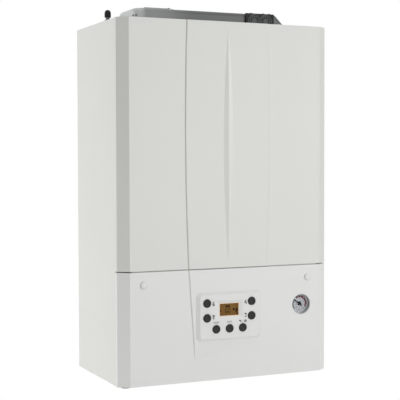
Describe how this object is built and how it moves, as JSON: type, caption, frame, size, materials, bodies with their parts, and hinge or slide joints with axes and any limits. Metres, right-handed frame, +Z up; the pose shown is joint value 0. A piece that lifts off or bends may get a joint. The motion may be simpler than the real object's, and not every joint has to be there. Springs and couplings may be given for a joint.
{
  "type": "gas boiler",
  "caption": "Wall-hung gas boiler with a white casing, pull-off front cover, tilting control panel with buttons, display and pressure gauge, roof hood, flue socket and pipe tails below.",
  "frame": {"origin": "midway between the two hanging holes, on the wall plane", "axes": "+Z up, +Y into the wall, so the front faces -Y"},
  "size_m": [0.44, 0.2515, 0.7455],
  "materials": {
    "white_paint": "satin",
    "white_plastic": "satin",
    "zinc_sheet": "satin",
    "hood_grey": "matte",
    "dark_plastic": "matte",
    "steel": "satin",
    "flue_plastic": "matte",
    "vessel_paint": "satin",
    "cast_alloy": "matte",
    "copper": "satin",
    "brass": "satin",
    "composite": "matte",
    "electrode": "matte",
    "board_green": "satin",
    "display_amber": "gloss",
    "button_grey": "matte",
    "gauge_body": "satin",
    "gauge_face": "matte",
    "gauge_black": "matte",
    "clear": "gloss"
  },
  "bodies": {
    "frame": {"rear_frame": "zinc_sheet", "left_side_panel": "white_paint", "right_side_panel": "white_paint", "top_plate": "zinc_sheet", "pipe_bracket": "zinc_sheet", "front_rail": "zinc_sheet", "panel_hinges": "zinc_sheet", "flue_hood": "hood_grey", "hood_grille": "dark_plastic", "hood_screws": "steel", "flue_duct": "flue_plastic", "expansion_vessel": "vessel_paint", "vessel_pipe": "copper", "heat_cell": "cast_alloy", "cell_coil": "steel", "burner_door": "cast_alloy", "burner_tube": "steel", "ignition_electrodes": "electrode", "door_nuts": "steel", "fan_casing": "dark_plastic", "fan_motor": "steel", "air_mixer": "cast_alloy", "gas_valve": "cast_alloy", "gas_inlet_pipe": "copper", "gas_supply_pipe": "copper", "flow_manifold": "composite", "return_manifold": "composite", "diverter_actuator": "dark_plastic", "plate_exchanger": "steel", "flow_pipe": "copper", "return_pipe": "copper", "pump_casing": "composite", "pump_motor": "cast_alloy", "safety_valve": "brass", "condensate_trap": "dark_plastic", "condensate_pipe": "flue_plastic"},
    "front_cover": {"front_cover": "white_paint"},
    "control_panel": {"control_fascia": "white_plastic", "control_box": "dark_plastic", "screw_caps": "white_plastic", "display_module": "display_amber", "control_board": "board_green", "gauge_case": "gauge_body", "gauge_lens": "clear", "gauge_dial": "gauge_face"},
    "needle": {"gauge_needle": "gauge_black"},
    "heating_up_button": {"heating_up_button": "button_grey"},
    "heating_down_button": {"heating_down_button": "button_grey"},
    "water_up_button": {"water_up_button": "button_grey"},
    "water_down_button": {"water_down_button": "button_grey"},
    "reset_button": {"reset_button": "button_grey"},
    "season_button": {"season_button": "button_grey"},
    "info_button": {"info_button": "button_grey"},
    "vessel_valve_cap": {"vessel_valve_cap": "dark_plastic"},
    "fan_impeller": {"fan_impeller": "composite"},
    "pump_impeller": {"pump_impeller": "composite"},
    "diverter_spindle": {"diverter_spindle": "brass"},
    "safety_valve_knob": {"safety_valve_knob": "dark_plastic"},
    "filling_knob": {"filling_knob": "dark_plastic"}
  },
  "joints": [
    {"name": "cover_pull", "type": "slide", "parent": "frame", "child": "front_cover", "axis": [0, -1, 0], "range_m": [0, 0.25]},
    {"name": "panel_tilt", "type": "hinge", "parent": "frame", "child": "control_panel", "pos_m": [0, -0.1785, -0.634], "axis": [1, 0, 0], "range_deg": [0, 85]},
    {"name": "needle_turn", "type": "hinge", "parent": "control_panel", "child": "needle", "pos_m": [0.159, -0.236, -0.505], "axis": [0, 1, 0], "range_deg": [-80, 190]},
    {"name": "cap_lift", "type": "slide", "parent": "frame", "child": "vessel_valve_cap", "axis": [0, 0, 1], "range_m": [0, 0.03]},
    {"name": "fan_spin", "type": "hinge", "parent": "frame", "child": "fan_impeller", "pos_m": [0.1415, -0.12, -0.144], "axis": [0, 0, 1], "continuous": true},
    {"name": "pump_spin", "type": "hinge", "parent": "frame", "child": "pump_impeller", "pos_m": [0.12, -0.11, -0.436], "axis": [0, 1, 0], "continuous": true},
    {"name": "diverter_shift", "type": "slide", "parent": "frame", "child": "diverter_spindle", "axis": [0, 0, -1], "range_m": [0, 0.008], "stiffness_N_per_m": 400, "springref_m": -0.01},
    {"name": "relief_turn", "type": "hinge", "parent": "frame", "child": "safety_valve_knob", "pos_m": [0.16, -0.105, -0.525], "axis": [1, 0, 0], "range_deg": [0, 90]},
    {"name": "filler_turn", "type": "hinge", "parent": "frame", "child": "filling_knob", "pos_m": [0.08865, -0.105, -0.636], "axis": [0, 0, -1], "range_deg": [0, 90]},
    {"name": "heating_up_press", "type": "slide", "parent": "control_panel", "child": "heating_up_button", "axis": [0, 1, 0], "range_m": [0, 0.0015], "stiffness_N_per_m": 900},
    {"name": "heating_down_press", "type": "slide", "parent": "control_panel", "child": "heating_down_button", "axis": [0, 1, 0], "range_m": [0, 0.0015], "stiffness_N_per_m": 900},
    {"name": "water_up_press", "type": "slide", "parent": "control_panel", "child": "water_up_button", "axis": [0, 1, 0], "range_m": [0, 0.0015], "stiffness_N_per_m": 900},
    {"name": "water_down_press", "type": "slide", "parent": "control_panel", "child": "water_down_button", "axis": [0, 1, 0], "range_m": [0, 0.0015], "stiffness_N_per_m": 900},
    {"name": "reset_press", "type": "slide", "parent": "control_panel", "child": "reset_button", "axis": [0, 1, 0], "range_m": [0, 0.0015], "stiffness_N_per_m": 900},
    {"name": "season_press", "type": "slide", "parent": "control_panel", "child": "season_button", "axis": [0, 1, 0], "range_m": [0, 0.0015], "stiffness_N_per_m": 900},
    {"name": "info_press", "type": "slide", "parent": "control_panel", "child": "info_button", "axis": [0, 1, 0], "range_m": [0, 0.0015], "stiffness_N_per_m": 900}
  ]
}
